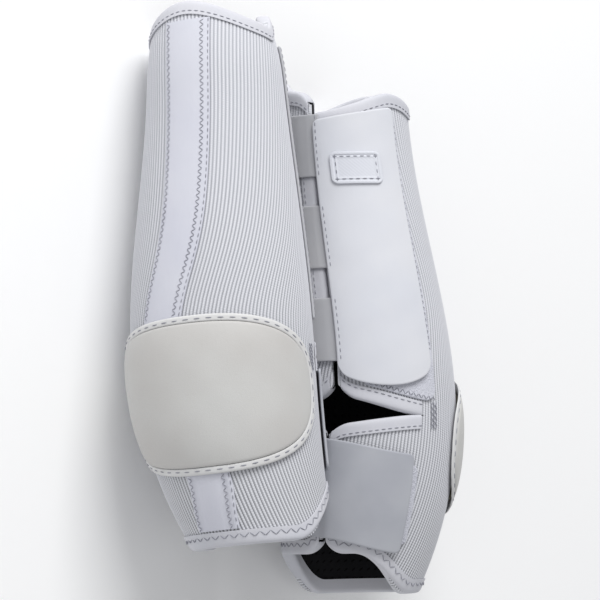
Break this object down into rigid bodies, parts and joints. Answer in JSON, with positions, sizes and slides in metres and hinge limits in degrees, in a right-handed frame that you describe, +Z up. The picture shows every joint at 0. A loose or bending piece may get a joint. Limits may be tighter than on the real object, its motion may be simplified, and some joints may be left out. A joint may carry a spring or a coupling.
{
  "type": "tendon boots",
  "caption": "Two wrap-round support boots for a horse's lower legs: ribbed neoprene, crowned fetlock pad, strapped closure panel and separate fetlock strap.",
  "frame": {"origin": "on the surface that the pair lies on, under the middle of its box", "axes": "+Y along the boots towards their tops, +X from the front boot to the rear boot, +Z up"},
  "size_m": [0.216, 0.3384, 0.116],
  "materials": {
    "ribbed_neoprene": "ribbed white outer fabric on neoprene, fine dark grooves",
    "lining": "black perforated neoprene, matt",
    "spine_tape": "smooth lavender-white tape",
    "pad_leather": "off-white smooth leather-like cover, satin",
    "pad_foam": "closed-cell foam",
    "pad_welt": "lighter turned rim, stitched",
    "binding": "folded smooth stretch tape, stitched",
    "thread": "white sewing thread",
    "loop_pile": "brushed loop pile",
    "strap_webbing": "smooth grey-white stretch webbing",
    "closure_tab": "smooth pale satin tab",
    "hook_tape": "moulded hook tape",
    "badge": "soft moulded badge with a stitched border",
    "fetlock_tab": "smooth blue-grey shaded tab, satin"
  },
  "bodies": {
    "rear_boot": {"rear_right_panel": "ribbed_neoprene", "rear_left_panel": "ribbed_neoprene", "rear_lining": "lining", "rear_spine_tape": "spine_tape", "rear_strike_pad": "pad_leather", "rear_pad_foam": "pad_foam", "rear_pad_welt": "pad_welt", "rear_top_binding": "binding", "rear_bottom_binding": "binding", "rear_right_edge_binding": "binding", "rear_left_edge_binding": "binding", "rear_right_low_binding": "binding", "rear_left_low_binding": "binding", "rear_right_notch_binding": "binding", "rear_left_notch_binding": "binding", "rear_notch_bartacks": "thread", "rear_landing_patch": "loop_pile", "rear_strap_patch": "loop_pile", "rear_anchor_band": "strap_webbing", "rear_upper_strap": "strap_webbing", "rear_middle_strap": "strap_webbing", "rear_lower_strap": "strap_webbing", "rear_strap_anchor": "fetlock_tab"},
    "rear_closure": {"rear_closure_panel": "closure_tab", "rear_hook_patch": "hook_tape", "rear_badge": "badge"},
    "rear_strap": {"rear_fetlock_strap": "fetlock_tab", "rear_strap_hook": "hook_tape"},
    "front_boot": {"front_right_panel": "ribbed_neoprene", "front_left_panel": "ribbed_neoprene", "front_lining": "lining", "front_spine_tape": "spine_tape", "front_strike_pad": "pad_leather", "front_pad_foam": "pad_foam", "front_pad_welt": "pad_welt", "front_top_binding": "binding", "front_bottom_binding": "binding", "front_right_edge_binding": "binding", "front_left_edge_binding": "binding", "front_right_low_binding": "binding", "front_left_low_binding": "binding", "front_right_notch_binding": "binding", "front_left_notch_binding": "binding", "front_notch_bartacks": "thread", "front_landing_patch": "loop_pile", "front_strap_patch": "loop_pile", "front_anchor_band": "strap_webbing", "front_upper_strap": "strap_webbing", "front_middle_strap": "strap_webbing", "front_lower_strap": "strap_webbing", "front_strap_anchor": "fetlock_tab"},
    "front_closure": {"front_closure_panel": "closure_tab", "front_hook_patch": "hook_tape", "front_badge": "badge"},
    "front_strap": {"front_fetlock_strap": "fetlock_tab", "front_strap_hook": "hook_tape"}
  },
  "joints": [
    {"name": "front_lift", "type": "slide", "parent": "rear_boot", "child": "front_boot", "axis": [0, 0, 1], "range_m": [0, 0.2]},
    {"name": "rear_closure_peel", "type": "hinge", "parent": "rear_boot", "child": "rear_closure", "pos_m": [0.01036, 0.03348, 0.06743], "axis": [-0.0147, -0.9836, 0.1797], "range_deg": [0, 80]},
    {"name": "rear_strap_peel", "type": "hinge", "parent": "rear_boot", "child": "rear_strap", "pos_m": [0.00493, -0.10224, 0.07518], "axis": [-0.0044, -0.9992, -0.0407], "range_deg": [0, 64]},
    {"name": "front_closure_peel", "type": "hinge", "parent": "front_boot", "child": "front_closure", "pos_m": [-0.01158, 0.05997, 0.02314], "axis": [0.0111, -0.9999, 0.0101], "range_deg": [0, 80]},
    {"name": "front_strap_peel", "type": "hinge", "parent": "front_boot", "child": "front_strap", "pos_m": [-0.00598, -0.07476, 0.04117], "axis": [0.0092, -0.9729, 0.231], "range_deg": [0, 68]}
  ]
}
